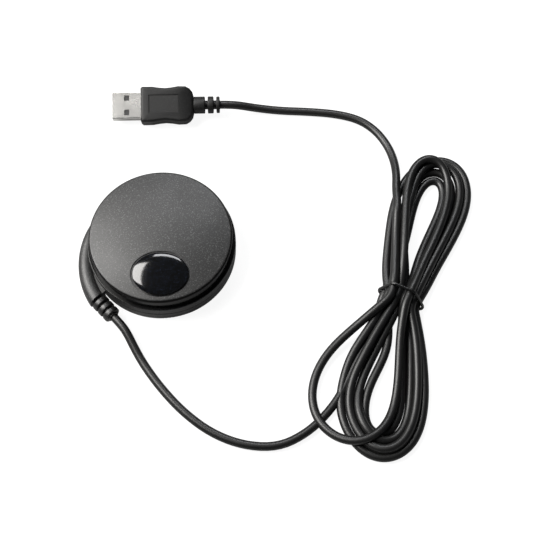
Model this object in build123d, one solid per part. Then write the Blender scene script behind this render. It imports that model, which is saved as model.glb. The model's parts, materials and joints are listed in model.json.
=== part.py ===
"""A round GPS receiver puck on a magnetic base, with a USB lead tied in a hank.

Millimetres, +Z up. The origin is the middle of the base's underside, on the puck's axis.
-Y is the edge with the oval badge. The cable leaves the puck's left side, towards -Y, lies
on the surface, is gathered into five tied turns and ends in a USB plug beyond +Y.
"""

import math
import os

from build123d import *

# ---------------------------------------------------------------- driving dimensions

# the puck, from the ground up
BASE_R = 30.8           # outer radius of the base
BASE_TOP = 5.6          # top of the base's outer wall
PUCK_R = 31.0           # outer radius of the housing
HOUSING_Z = 6.0         # underside of the receiver, which stands on the base's land
SPLIT_Z = 10.4          # parting plane between the housing and the cover
PUCK_TOP = 19.5         # crown of the dome
COVER_R = 29.85         # outer radius of the cover, which leaves a ledge on the housing
RIM_Z = 16.4            # where the dome would meet the cover's wall, were its edge not rounded
EDGE_R = 1.3            # rounding of that edge
WALL = 1.9              # wall of the cover

# the badge
BADGE_A, BADGE_B = 12.0, 9.3    # half axes of the oval
BADGE_X, BADGE_Y = 0.8, -18.0   # its centre
BADGE_GAP = 0.45                # groove round it
BADGE_SUNK = 0.9                # depth of its recess

# the electronics
CAVITY_R = 27.4
FLOOR_Z = 7.4
BOARD_Z, BOARD_T, BOARD_R = 10.0, 1.2, 26.4
SCREW_PCR, SCREW_ANGLES = 23.2, (60, 180, 300)
PATCH, PATCH_T = 25.0, 4.0      # ceramic patch antenna

# the cable and its outlet
CORD_D = 3.6
CORD_R = CORD_D / 2
OUTLET_ANGLE = 223.0            # where the boss ends, round the puck
OUTLET_R = 35.5                 # radius of the cable's axis there
OUTLET_Z = 5.2
OUTLET_HEADING = OUTLET_ANGLE - 270   # the way the cable points, in plan: along the rim
RELIEF_LEN = 10.4
BOSS_R = 3.9                    # the boss's end, round the cable's axis
BOSS_START = 150.0              # where the boss begins to swell out of the wall
BORE_R, BORE_LEN = 2.2, 5.6     # the blind bore in the boss that holds the cable's end
HANK_TOP = 11.2
TIE_T = 1.3                     # thickness of the twist tie

# the four wires' way from the cavity into the bore
LEAD_IN, LEAD_OUT = (-22.95, -12.2, 8.2), (-28.84, -19.82, 5.9)

# the USB plug
TIP = (-24.3, 67.9, 6.05)       # middle of the plug's mouth
PLUG_YAW, PLUG_ROLL = 1.2, 18.0     # the plug lies on one edge of its grip
SHELL_W, SHELL_T, SHELL_LEN, SHELL_WALL = 12.0, 4.5, 12.5, 0.32
MOULD_W, MOULD_T, MOULD_LEN, MOULD_EDGE = 16.0, 8.0, 23.3, 1.1
NECK_LEN, NECK_R = 11.8, 2.0    # the plug's strain relief and the core between its ribs

os.makedirs("parts", exist_ok=True)


# ---------------------------------------------------------------- helpers


def save(shape, node):
    """Writes one named piece, made of a solid or of several separate ones."""
    export_step(shape, f"parts/{node}.step")
    solids = shape.solids()
    print(f"{node}: {len(solids)} solid(s), {sum(s.volume for s in solids):.1f} mm3")


def ring(r_out, r_in, z_low, z_high):
    """A flat ring, or a disc when its inner radius is 0."""
    body = Pos(0, 0, z_low) * Cylinder(r_out, z_high - z_low, align=(Align.CENTER, Align.CENTER, Align.MIN))
    if r_in:
        body -= Pos(0, 0, z_low - 1) * Cylinder(
            r_in, z_high - z_low + 2, align=(Align.CENTER, Align.CENTER, Align.MIN)
        )
    return body


def post(x, y, r, z_low, z_high):
    """An upright round pin."""
    return Pos(x, y, z_low) * Cylinder(r, z_high - z_low, align=(Align.CENTER, Align.CENTER, Align.MIN))


def block(x_size, y_size, z_low, z_high, x=0.0, y=0.0, edge=0.0):
    """An upright block with its four upright edges rounded."""
    body = Pos(x, y, z_low) * Box(
        x_size, y_size, z_high - z_low, align=(Align.CENTER, Align.CENTER, Align.MIN)
    )
    if edge:
        body = fillet(body.edges().filter_by(Axis.Z), edge)
    return body


def turned(points, axis=Axis.Z):
    """A closed outline of (radius, height) points turned all the way round."""
    plane = Plane.XZ if axis == Axis.Z else Plane.XY
    return revolve(plane * make_face(Polyline(*points, close=True)), axis)


def polar(radius, degrees):
    return radius * math.cos(math.radians(degrees)), radius * math.sin(math.radians(degrees))


SCREW_SPOTS = [polar(SCREW_PCR, angle) for angle in SCREW_ANGLES]

# the dome is part of a sphere through the crown and the top of the cover's wall
DOME_R = (COVER_R**2 + (PUCK_TOP - RIM_Z) ** 2) / (2 * (PUCK_TOP - RIM_Z))


def dome_height(radius, inset=0.0):
    """Height of the dome at that distance from the axis, or of the face that far inside it."""
    return PUCK_TOP - DOME_R + math.sqrt((DOME_R - inset) ** 2 - radius**2)


def rim(shape, radius, height):
    """The round edges of that radius at that height."""
    circles = shape.edges().filter_by(GeomType.CIRCLE)
    return [e for e in circles if abs(e.radius - radius) < 0.01 and abs(e.center().Z - height) < 0.01]


BADGE_TILT = math.degrees(math.asin(-BADGE_Y / DOME_R))
BADGE_SPOT = Pos(BADGE_X, BADGE_Y, dome_height(math.hypot(BADGE_X, BADGE_Y))) * Rot(BADGE_TILT, 0, 0)


# ---------------------------------------------------------------- the magnetic base


def make_base():
    pad_r, magnet_r, hub_r = 27.5, 20.0, 5.0
    land_r = 29.9
    foot_z = 0.4
    shell = turned([
        (0, 1.0), (pad_r + 0.2, 1.0), (pad_r + 0.2, foot_z), (BASE_R, foot_z), (BASE_R, BASE_TOP),
        (land_r, BASE_TOP), (land_r, HOUSING_Z), (0, HOUSING_Z),
    ])
    shell = fillet(rim(shell, BASE_R, foot_z), 0.9)
    shell = fillet(rim(shell, BASE_R, BASE_TOP), 0.4)
    shell -= ring(magnet_r, hub_r, 0.9, 4.4)
    shell -= ring(3.5, 0, 0.9, 3.1) + ring(1.9, 0, 3.0, 7.0)
    save(shell, "base_shell")
    save(ring(pad_r, 0, 0, 1.0), "base_friction_pad")
    save(ring(magnet_r - 0.2, hub_r + 0.2, 1.0, 3.4), "ring_magnet")
    save(ring(magnet_r - 0.1, hub_r + 0.1, 3.4, 4.4), "magnet_back_plate")
    screw = ring(3.2, 0, 1.3, 3.1) + ring(1.55, 0, 3.1, 9.2)
    screw -= block(3.2, 0.7, 1.2, 2.3) + block(0.7, 3.2, 1.2, 2.3)
    save(screw, "base_screw")


# ---------------------------------------------------------------- the receiver's case


def outlet_frame():
    """The plane of the boss's end face, its normal along the cable as it leaves."""
    heading = math.radians(OUTLET_HEADING)
    way = (math.cos(heading), math.sin(heading), 0)
    x, y = polar(OUTLET_R, OUTLET_ANGLE)
    return Plane(origin=(x, y, OUTLET_Z), x_dir=(-way[1], way[0], 0), z_dir=way)


def make_boss():
    """The cable outlet: a swelling tube that leaves the wall in a spiral, and a web behind it."""
    count, first_r, first_axis_r = 4, 2.6, 27.95
    tube_sections, web_edge = [], []
    for step in range(count):
        share = step / (count - 1)
        angle = BOSS_START + share * (OUTLET_ANGLE - BOSS_START)
        tube_r = first_r + share * (BOSS_R - first_r)
        axis_r = first_axis_r + share * (OUTLET_R - first_axis_r)
        x, y = polar(axis_r, angle)
        outward = polar(1, angle)
        section = Plane(origin=(x, y, 6.6 + share * (OUTLET_Z - 6.6)), x_dir=(*outward, 0),
                        z_dir=(-outward[1], outward[0], 0))
        tube_sections.append(section * Circle(tube_r))
        web_edge.append((x, y))
    tube = loft(tube_sections)
    inner = [polar(first_axis_r, OUTLET_ANGLE), polar(first_axis_r - 1, (BOSS_START + OUTLET_ANGLE) / 2)]
    web_outline = [
        Spline(*web_edge), Line(web_edge[-1], inner[0]), Line(*inner), Line(inner[1], web_edge[0])
    ]
    web = Pos(0, 0, 2.6) * extrude(make_face(web_outline), 5.3)
    boss = tube + web
    boss -= ring(28.6, 0, -5, 20)
    boss -= ring(PUCK_R + 0.4, 0, -5, HOUSING_Z)
    boss -= ring(45, 0, SPLIT_Z - 0.8, 20)
    return boss


def make_housing():
    shell = turned([
        (0, HOUSING_Z), (PUCK_R, HOUSING_Z), (PUCK_R, SPLIT_Z), (CAVITY_R, SPLIT_Z), (CAVITY_R, FLOOR_Z),
        (0, FLOOR_Z),
    ])
    shell = fillet(rim(shell, PUCK_R, HOUSING_Z), 0.6)
    shell = fillet(rim(shell, PUCK_R, SPLIT_Z), 0.4)
    shell += make_boss()
    shell += ring(5.0, 0, FLOOR_Z - 0.5, BOARD_Z - 0.2)
    shell -= ring(3.0, 0, HOUSING_Z - 1, 9.6)
    shell -= ring(29.4, 28.4, SPLIT_Z - 1.0, SPLIT_Z + 1)
    for x, y in SCREW_SPOTS:
        shell += post(x, y, 3.2, FLOOR_Z - 0.5, BOARD_Z)
        shell -= post(x, y, 2.4, HOUSING_Z - 1, 8.0) + post(x, y, 1.3, 7.0, BOARD_Z + 1)
    shell -= block(22.4, 9.4, HOUSING_Z - 1, HOUSING_Z + 0.2, y=13)
    shell -= outlet_frame() * Pos(0, 0, -BORE_LEN) * Cylinder(
        BORE_R, BORE_LEN + 2, align=(Align.CENTER, Align.CENTER, Align.MIN)
    )
    way_in = Vector(*LEAD_OUT) - Vector(*LEAD_IN)
    shell -= Plane(origin=LEAD_IN, z_dir=way_in) * Cylinder(
        0.75, way_in.length, align=(Align.CENTER, Align.CENTER, Align.MIN)
    )
    save(shell, "lower_housing")
    save(block(22, 9, HOUSING_Z + 0.03, HOUSING_Z + 0.2, y=13), "blank_label")
    save(ring(3.0, 1.7, HOUSING_Z, 9.6), "mounting_insert")
    save(ring(29.35, 28.45, SPLIT_Z - 1.0, SPLIT_Z - 0.05), "case_gasket")


def make_cover():
    skirt_r, inner_r = CAVITY_R + 0.5, CAVITY_R - 1.2
    inner_z = dome_height(inner_r, WALL)
    inner_middle = (inner_r / 2, dome_height(inner_r / 2, WALL))
    outline = [
        Line((skirt_r, SPLIT_Z), (COVER_R, SPLIT_Z)),
        Line((COVER_R, SPLIT_Z), (COVER_R, RIM_Z)),
        ThreePointArc((COVER_R, RIM_Z), (COVER_R / 2, dome_height(COVER_R / 2)), (0, PUCK_TOP)),
        Line((0, PUCK_TOP), (0, PUCK_TOP - WALL)),
        ThreePointArc((0, PUCK_TOP - WALL), inner_middle, (inner_r, inner_z)),
        Line((inner_r, inner_z), (skirt_r, inner_z - 1.6)),
        Line((skirt_r, inner_z - 1.6), (skirt_r, SPLIT_Z)),
    ]
    cover = revolve(Plane.XZ * make_face(outline), Axis.Z)
    cover = fillet(rim(cover, COVER_R, RIM_Z), EDGE_R)
    cover = fillet(rim(cover, COVER_R, SPLIT_Z), 0.25)
    for x, y in SCREW_SPOTS:
        cover += post(x, y, 2.8, BOARD_Z + BOARD_T, RIM_Z - 0.6)
        cover -= post(x, y, 1.15, BOARD_Z, 14.6)
    groove = BADGE_SPOT * Pos(0, 0, -BADGE_SUNK) * extrude(
        Ellipse(BADGE_A + BADGE_GAP, BADGE_B + BADGE_GAP), 4
    )
    cover -= groove
    save(cover, "top_cover")


def make_badge():
    """An oval lens with a crown, glued in its recess by a thin film."""
    film, plate, crown, cap = 0.12, 0.75, 0.95, 0.1
    half = math.sqrt(1 - (1 - cap) ** 2)
    glue = Pos(0, 0, -BADGE_SUNK) * extrude(Ellipse(BADGE_A - 0.6, BADGE_B - 0.6), film)
    save(BADGE_SPOT * glue, "badge_film")
    plate_body = Pos(0, 0, film - BADGE_SUNK) * extrude(Ellipse(BADGE_A, BADGE_B), plate)
    ball = Sphere(1) & Pos(0, 0, 1 - cap) * Box(4, 4, 2, align=(Align.CENTER, Align.CENTER, Align.MIN))
    lens = scale(ball, by=(BADGE_A / half, BADGE_B / half, crown / cap))
    lens = Pos(0, 0, film - BADGE_SUNK + plate - (1 - cap) * crown / cap) * lens
    save(BADGE_SPOT * (plate_body + lens), "badge")


# ---------------------------------------------------------------- the electronics


def make_electronics():
    top, under = BOARD_Z + BOARD_T, BOARD_Z
    board = ring(BOARD_R, 0, under, top)
    for x, y in SCREW_SPOTS:
        board -= post(x, y, 1.4, under - 1, top + 1)
    board -= ring(0.65, 0, under - 1, top + 1)
    save(board, "circuit_board")
    save(block(PATCH - 1, PATCH - 1, top, top + 0.3) - ring(0.8, 0, 5, 20), "antenna_pad")
    ceramic = block(PATCH, PATCH, top + 0.3, top + 0.3 + PATCH_T, edge=1.0) - ring(0.65, 0, 5, 20)
    save(ceramic, "patch_antenna")
    patch_top = top + 0.3 + PATCH_T
    electrode = block(20.5, 20.5, patch_top, patch_top + 0.1) - ring(0.65, 0, 5, 20)
    save(electrode, "antenna_electrode")
    pin = ring(0.6, 0, under - 0.1, patch_top + 0.1) + ring(1.2, 0, patch_top + 0.1, patch_top + 0.5)
    save(pin, "feed_pin")

    can_x, can_y, can_w, can_d, can_h = 9.5, 2.5, 15.0, 15.0, 2.3
    can = block(can_w, can_d, under - can_h, under, x=can_x, y=can_y, edge=0.6)
    can -= block(can_w - 0.5, can_d - 0.5, under - can_h + 0.25, under + 1, x=can_x, y=can_y, edge=0.35)
    can -= ring(5.4, 0, 5, 12)
    save(can, "rf_shield")
    for node, size_x, size_y, height, x, y in (
        ("receiver_chip", 6.0, 6.0, 0.9, 11.5, 4.5),
        ("saw_filter", 2.5, 2.0, 0.8, 7.2, -2.2),
        ("low_noise_amplifier", 1.6, 1.6, 0.6, 10.6, -1.6),
        ("reference_oscillator", 3.2, 2.5, 1.0, 14.2, -1.8),
        ("usb_interface_chip", 5.0, 5.0, 0.9, -8.6, -11.2),
        ("voltage_regulator", 3.0, 1.8, 1.1, -1.5, -14.6),
        ("flash_memory", 4.0, 5.0, 0.9, 3.0, 13.8),
    ):
        save(block(size_x, size_y, under - height, under, x=x, y=y), node)
    save(post(-8.5, 11.5, 3.4, under - 1.9, under), "backup_cell")
    parts = Part()
    for row in range(3):
        for column in range(4):
            x, y = -16.5 + 2.4 * column, -1.5 + 2.3 * row
            parts += block(1.6, 0.8, under - 0.6, under, x=x, y=y)
    save(parts, "chip_capacitors")


def make_case_screws():
    screws = Part()
    for x, y in SCREW_SPOTS:
        screw = post(x, y, 2.2, 6.4, 8.0) + post(x, y, 1.1, 8.0, 14.2)
        screw -= block(2.2, 0.6, 6.3, 7.2, x=x, y=y) + block(0.6, 2.2, 6.3, 7.2, x=x, y=y)
        screws += screw
    save(screws, "case_screws")


def make_inner_wires():
    """Socket, plug and four wires from the cable's end to the board."""
    under = BOARD_Z
    socket_x, socket_y = -15.6, -9.6
    socket = block(3.4, 6.4, under - 2.1, under, x=socket_x, y=socket_y)
    socket -= block(3.0, 5.4, under - 1.8, under - 0.6, x=socket_x - 1.0, y=socket_y)
    save(socket, "cable_header")
    housing = block(2.6, 5.2, under - 1.75, under - 0.65, x=socket_x - 1.15, y=socket_y)
    save(housing, "header_plug")
    wires = Part()
    wire_r, wire_pitch = 0.18, 0.56
    start_x = socket_x - 1.15 - 1.3
    for index in range(4):
        side = wire_pitch * (0.5 - index // 2) * 0.8
        lift = wire_pitch * (index % 2 - 0.5)
        y_start = socket_y - 1.5 + 1.0 * index
        route = [
            (start_x, y_start, 8.8),
            (start_x - 1.6, y_start, 8.8),
            (LEAD_IN[0] + side, LEAD_IN[1] - side, LEAD_IN[2] + lift),
            (LEAD_OUT[0] + side, LEAD_OUT[1] - side, LEAD_OUT[2] + lift),
        ]
        path = FilletPolyline(*route, radius=0.6)
        wires += sweep(Plane(origin=path @ 0, z_dir=path % 0) * Circle(wire_r), path)
    save(wires, "lead_wires")


# ---------------------------------------------------------------- the cable


def make_puck_relief():
    """Three fat rings with narrow necks between them, and a plug that fills the boss's bore."""
    neck_r, ring_len, pitch, first, root = 2.5, 2.4, 3.1, 1.1, -4.6
    outline = [(0, root), (BORE_R, root), (BORE_R, 0), (neck_r, 0)]
    for index, radius in enumerate((3.65, 3.6, 3.55)):
        low = first + pitch * index
        high = low + ring_len
        outline += [(neck_r, low), (radius - 0.5, low), (radius, low + 0.5), (radius, high - 0.5)]
        outline += [(radius - 0.5, high), (neck_r, high)]
    outline += [(neck_r, RELIEF_LEN), (0, RELIEF_LEN)]
    relief = outlet_frame() * revolve(Plane.XZ * make_face(Polyline(*outline, close=True)), Axis.Z)
    save(relief, "puck_strain_relief")


def route_tube(points, label):
    """A round cord along straight runs and arcs as large as the runs allow."""
    vectors = [Vector(*p) for p in points]
    runs = [b - a for a, b in zip(vectors, vectors[1:])]
    radii = []
    for before, after in zip(runs, runs[1:]):
        half_turn = math.radians(before.get_angle(after)) / 2
        radii.append(0.45 * min(before.length, after.length) / math.tan(half_turn))
    path = FilletPolyline(*points, radius=radii)
    tube = sweep(Plane(origin=path @ 0, z_dir=path % 0) * Circle(CORD_R), path)
    expected = math.pi * CORD_R**2 * path.length
    print(f"{label}: length {path.length:.1f}, runs {min(r.length for r in runs):.1f} to "
          f"{max(r.length for r in runs):.1f}, radii {' '.join(f'{r:.0f}' for r in radii)}")
    print(f"{label}: volume {tube.volume:.1f}, section times length {expected:.1f}")
    save(tube, label)
    return path.length


# The cable's route in plan and height, puck to hank and hank to plug. Both lie on the surface.
OUTLET_X, OUTLET_Y = polar(OUTLET_R, OUTLET_ANGLE)
OUTLET_WAY = polar(1, OUTLET_HEADING)


def past_relief(length):
    """A point on the cable's axis, that far past the boss's face."""
    return (OUTLET_X + length * OUTLET_WAY[0], OUTLET_Y + length * OUTLET_WAY[1], OUTLET_Z)


PUCK_ROUTE = [
    past_relief(RELIEF_LEN),
    past_relief(RELIEF_LEN + 5.0),
    (-12.9, -39.2, 4.6),
    (-9.9, -45.0, 3.2),
    (-6.0, -51.6, 2.1),
    (0.8, -60.9, 1.8),
    (10.1, -71.2, 1.85),
    (21.8, -80.2, 1.8),
    (35.0, -85.4, 1.85),
    (48.9, -86.0, 1.8),
    (60.2, -80.2, 1.85),
    (68.1, -70.8, 1.8),
    (73.6, -61.6, 1.85),
]

PLUG_ROUTE = [
    (99.3, 27.0, 6.6),
    (99.9, 34.5, 5.6),
    (99.2, 42.6, 3.6),
    (96.8, 50.6, 2.2),
    (92.0, 58.2, 1.8),
    (84.8, 63.8, 1.85),
    (74.6, 66.7, 1.8),
    (62.4, 67.8, 1.85),
    (49.6, 68.3, 1.8),
    (38.4, 69.0, 3.1),
]

# The hank seen from above: its outline, and the two gaps that its loops leave open.
HANK_OUTLINE = [
    (91.0, -22.0), (86.6, -29.6), (81.6, -34.6), (72.6, -41.8), (65.2, -51.0), (61.4, -60.0),
    (61.0, -68.0), (63.0, -75.2), (67.4, -81.2), (73.2, -85.4), (79.4, -88.0), (84.4, -91.2),
    (89.4, -92.9), (96.8, -91.2), (103.4, -85.4), (107.9, -76.4), (109.5, -66.0), (109.9, -54.0),
    (109.2, -42.0), (108.8, -30.0), (111.4, -18.4), (120.4, -3.6), (128.4, 10.9), (132.0, 22.4),
    (132.5, 31.4), (129.8, 38.6), (124.0, 41.6), (115.0, 41.6), (107.6, 38.4), (102.6, 33.0),
    (98.2, 27.0), (95.2, 19.0), (93.8, 11.8), (92.6, 3.4), (91.6, -7.2), (91.0, -15.6),
]
TIE_PLACE, TIE_ANGLE = (99.8, -22.6), -24.0    # the tie's middle, and the way across the hank there
TIE_WIDE = 18.2                                # its inner width
UPPER_GAP = [
    (105.6, 2.0), (105.8, 9.0), (107.0, 16.4), (108.8, 21.0), (111.6, 24.6),
    (115.6, 26.4), (118.0, 25.8), (117.0, 20.8), (113.8, 13.4), (109.0, 2.6),
]
LOWER_GAP = [
    (94.6, -44.0), (89.6, -53.0), (86.0, -62.0), (85.2, -69.0), (86.6, -75.4),
    (89.2, -77.0), (92.4, -71.6), (94.6, -62.0), (95.4, -52.0),
]


def make_hank():
    body = extrude(make_face(Spline(*HANK_OUTLINE, periodic=True)), HANK_TOP)
    for gap in (UPPER_GAP, LOWER_GAP):
        body -= Pos(0, 0, -1) * extrude(make_face(Spline(*gap, periodic=True)), HANK_TOP + 2)
    save(body, "cord_hank")


def make_tie():
    """A thin twist tie pulled round the middle of the hank."""
    across = Vector(*polar(1, TIE_ANGLE), 0)
    height = HANK_TOP + TIE_T
    middle = Vector(*TIE_PLACE, height / 2)
    plane = Plane(origin=middle, x_dir=across, z_dir=(-across.Y, across.X, 0))
    band = RectangleRounded(TIE_WIDE + 2 * TIE_T, height, 4.0)
    band -= RectangleRounded(TIE_WIDE, height - 2 * TIE_T, 3.0)
    save(extrude(plane * band, TIE_T / 2, both=True), "twist_tie")


# ---------------------------------------------------------------- the USB plug

PLUG = Pos(*TIP) * Rot(0, 0, PLUG_YAW) * Rot(PLUG_ROLL, 0, 0)


def mould_outline():
    """The overmould from above: square shoulders in front, a waist, and a rounded back."""
    half, length = MOULD_W / 2, MOULD_LEN
    upper = [
        Line((0, half - 1.2), (0.35, half - 0.3)),
        Line((0.35, half - 0.3), (1.2, half - 0.1)),
        Spline((1.2, half - 0.1), (5.4, half - 0.15), (10.8, half - 0.8), (16.2, half), (20.2, half - 0.2)),
        ThreePointArc((20.2, half - 0.2), (length - 0.9, half - 2.2), (length, half - 4.4)),
    ]
    lower = [mirror(edge, Plane.XZ) for edge in upper]
    ends = [
        Line((0, half - 1.2), (0, 1.2 - half)),
        Line((length, half - 4.4), (length, 4.4 - half)),
    ]
    return make_face(upper + lower + ends)


def make_plug():
    mould_start = SHELL_LEN
    shell = Box(SHELL_LEN + 4, SHELL_W, SHELL_T, align=(Align.MIN, Align.CENTER, Align.CENTER))
    shell = fillet(shell.edges().filter_by(Axis.X), 0.5)
    shell -= Pos(-1, 0, 0) * Box(
        SHELL_LEN + 4.7, SHELL_W - 2 * SHELL_WALL, SHELL_T - 2 * SHELL_WALL,
        align=(Align.MIN, Align.CENTER, Align.CENTER),
    )
    for y in (-3.25, 3.25):
        shell -= Pos(6.3, y, 0) * Box(2.2, 2.5, 10)
    save(PLUG * shell, "usb_shell")

    tongue_t, tongue_z = 1.85, 0.95
    tongue = Pos(0.5, 0, tongue_z) * Box(
        SHELL_LEN + 3.0, SHELL_W - 0.8, tongue_t, align=(Align.MIN, Align.CENTER, Align.CENTER)
    )
    contact_face = tongue_z - tongue_t / 2
    contacts = Part()
    for index in range(4):
        y, start = 2.3 * (index - 1.5), 1.6 if index in (0, 3) else 2.6
        strip = Pos(start, y, contact_face + 0.15) * Box(
            SHELL_LEN - start + 2.0, 1.0, 0.3, align=(Align.MIN, Align.CENTER, Align.CENTER)
        )
        contacts += strip
    save(PLUG * (tongue - contacts), "usb_tongue")
    save(PLUG * contacts, "usb_contacts")

    mould = Pos(mould_start, 0, -MOULD_T / 2) * extrude(mould_outline(), MOULD_T)
    mould = fillet(mould.edges().group_by(Axis.Z)[-1] + mould.edges().group_by(Axis.Z)[0], MOULD_EDGE)
    mould -= Pos(mould_start + 3.6, 0, MOULD_T / 2 - 0.3) * Box(
        13.0, 8.2, 2, align=(Align.MIN, Align.CENTER, Align.MIN)
    )
    mould -= Pos(mould_start - 1, 0, 0) * Box(
        5.0, SHELL_W, SHELL_T, align=(Align.MIN, Align.CENTER, Align.CENTER)
    )
    mould -= Pos(mould_start + 3.9, 0, 0) * Box(
        6.6, 10.4, 4.2, align=(Align.MIN, Align.CENTER, Align.CENTER)
    )
    save(PLUG * mould, "usb_overmould")
    crimp = Pos(mould_start + 4.1, 0, 0) * Box(6.2, 10.0, 3.8, align=(Align.MIN, Align.CENTER, Align.CENTER))
    save(PLUG * crimp, "usb_wire_block")

    outline = [(0, 0)]
    for low, high, radius in ((0.0, 4.9, 3.75), (6.2, 8.7, 3.75), (10.0, 11.4, 3.65)):
        if low:
            outline.append((NECK_R, low))
        outline += [(radius, low), (radius, high - 0.3), (radius - 0.3, high), (NECK_R, high)]
    outline += [(NECK_R, NECK_LEN), (0, NECK_LEN)]
    relief = revolve(Plane.XZ * make_face(Polyline(*outline, close=True)), Axis.Z)
    save(PLUG * Pos(mould_start + MOULD_LEN, 0, 0) * Rot(0, 90, 0) * relief, "plug_strain_relief")
    end = mould_start + MOULD_LEN + NECK_LEN
    return [tuple((PLUG * Pos(x, 0, 0)).position) for x in (end + 6.0, end)]


make_base()
make_housing()
make_cover()
make_badge()
make_electronics()
make_case_screws()
make_inner_wires()
make_puck_relief()
make_hank()
make_tie()
plug_exit = make_plug()
print("the cable's last points, into the plug", plug_exit)
route_tube(PUCK_ROUTE, "puck_cord")
route_tube([*PLUG_ROUTE, *plug_exit], "plug_cord")
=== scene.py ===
# %% [markdown]
# # A GPS receiver puck with a tied USB lead
# The object is a round satellite receiver, 62 mm across, that stands on a magnetic base. A thin
# cable leaves its side, is gathered in a tied hank and ends in a USB plug. The hard pieces were
# designed in CAD and are loaded first, as a fixed frame. This script gives them their finishes
# and makes the soft pieces, which a CAD solid can only block out.

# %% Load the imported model
import json
import math

import bmesh
import bpy
import numpy as np
from mathutils import Matrix, Vector


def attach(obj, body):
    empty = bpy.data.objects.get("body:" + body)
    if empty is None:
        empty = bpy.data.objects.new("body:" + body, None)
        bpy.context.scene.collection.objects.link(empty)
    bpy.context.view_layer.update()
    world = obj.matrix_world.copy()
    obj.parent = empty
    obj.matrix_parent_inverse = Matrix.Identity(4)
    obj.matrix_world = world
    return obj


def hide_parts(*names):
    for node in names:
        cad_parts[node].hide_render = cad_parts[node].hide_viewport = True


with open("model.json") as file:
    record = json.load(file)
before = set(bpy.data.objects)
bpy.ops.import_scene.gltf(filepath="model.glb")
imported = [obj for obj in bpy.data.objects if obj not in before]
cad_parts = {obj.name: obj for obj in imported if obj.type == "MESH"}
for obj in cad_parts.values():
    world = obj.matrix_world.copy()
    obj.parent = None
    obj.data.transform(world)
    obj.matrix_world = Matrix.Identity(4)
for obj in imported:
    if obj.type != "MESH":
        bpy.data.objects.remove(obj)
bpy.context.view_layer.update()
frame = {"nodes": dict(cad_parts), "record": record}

MM = 0.001
nodes = frame["nodes"]

# %% [markdown]
# ## Camera
# A long lens from high above the near side keeps the puck round and the cable even in width. The
# camera looks at a point between the puck and the hank, about a quarter of a right angle off
# straight down.

# %% Place the camera
AIM = Vector((0.0474, -0.0107, 0.0))
TILT = math.radians(23.5)           # between the view and straight down
DISTANCE = 0.530
camera_data = bpy.data.cameras.new("camera")
camera_data.sensor_width = 36.0
camera_data.lens = 82.2
camera_data.clip_start = 0.01
camera_data.clip_end = 20.0
camera = bpy.data.objects.new("camera", camera_data)
camera.location = AIM + DISTANCE * Vector((0.0, -math.sin(TILT), math.cos(TILT)))
camera.rotation_euler = (TILT, 0.0, 0.0)
bpy.context.scene.collection.objects.link(camera)
bpy.context.scene.camera = camera
print("camera at", tuple(round(c, 4) for c in camera.location))

# %% [markdown]
# ## The cable's route
# The cable is one length of soft round cord, 3.6 mm thick. Where it is not tied its route is a
# short list of points, and a NURBS curve of order 3 turns them into one flowing line. They are
# the points that the CAD tube follows, but the last two of the puck's side lie within 2 mm of
# its own. Points sampled along arcs would look like bent wire.

# %% Route of the two loose stretches, in millimetres
CORD_D = 3.6
OUTLET_R, OUTLET_Z, RELIEF_LEN = 35.5, 5.2, 10.4
OUTLET_ANGLE = math.radians(223.0)
OUTLET_HEADING = math.radians(223.0 - 270.0)     # a quarter turn on, so the sleeve lies along the wall
outlet = Vector((OUTLET_R * math.cos(OUTLET_ANGLE), OUTLET_R * math.sin(OUTLET_ANGLE), OUTLET_Z))
outlet_way = Vector((math.cos(OUTLET_HEADING), math.sin(OUTLET_HEADING), 0))
puck_route = [
    outlet + RELIEF_LEN * outlet_way,
    outlet + (RELIEF_LEN + 5.0) * outlet_way,
    (-12.9, -39.2, 4.6),
    (-9.9, -45.0, 3.2),
    (-6.0, -51.6, 2.1),
    (0.8, -60.9, 1.8),
    (10.1, -71.2, 1.85),
    (21.8, -80.2, 1.8),
    (35.0, -85.4, 1.85),
    (48.9, -86.0, 1.8),
    (60.2, -80.2, 1.85),
    (68.6, -72.0, 1.8),
    (75.0, -62.6, 1.85),
]

TIP, PLUG_YAW, PLUG_ROLL = (-24.3, 67.9, 6.05), 1.2, 18.0
SHELL_LEN, MOULD_LEN, NECK_LEN = 12.5, 23.3, 11.8
plug_place = (Matrix.Translation(TIP) @ Matrix.Rotation(math.radians(PLUG_YAW), 4, "Z")
              @ Matrix.Rotation(math.radians(PLUG_ROLL), 4, "X"))
plug_end = SHELL_LEN + MOULD_LEN + NECK_LEN
plug_route = [
    (99.3, 27.0, 6.6),
    (99.9, 34.5, 5.6),
    (99.2, 42.6, 3.6),
    (96.8, 50.6, 2.2),
    (92.0, 58.2, 1.8),
    (84.8, 63.8, 1.85),
    (74.6, 66.7, 1.8),
    (62.4, 67.8, 1.85),
    (49.6, 68.3, 1.8),
    (38.4, 69.0, 3.1),
    plug_place @ Vector((plug_end + 6.0, 0, 0)),
    plug_place @ Vector((plug_end, 0, 0)),
]
print("loose stretches:", len(puck_route), "and", len(plug_route), "points")

# %% [markdown]
# ## The hank's turns
# Five loops are gathered by a twist tie, so each turn passes the tie twice, once on the left and
# once on the right, and swings out freely above and below it. Every loop is given by the places
# it passes, because loose turns differ in size. The passes at the tie are packed in rows like
# pencils in a cup. A smooth curve through these places is then cut into even steps.

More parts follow.
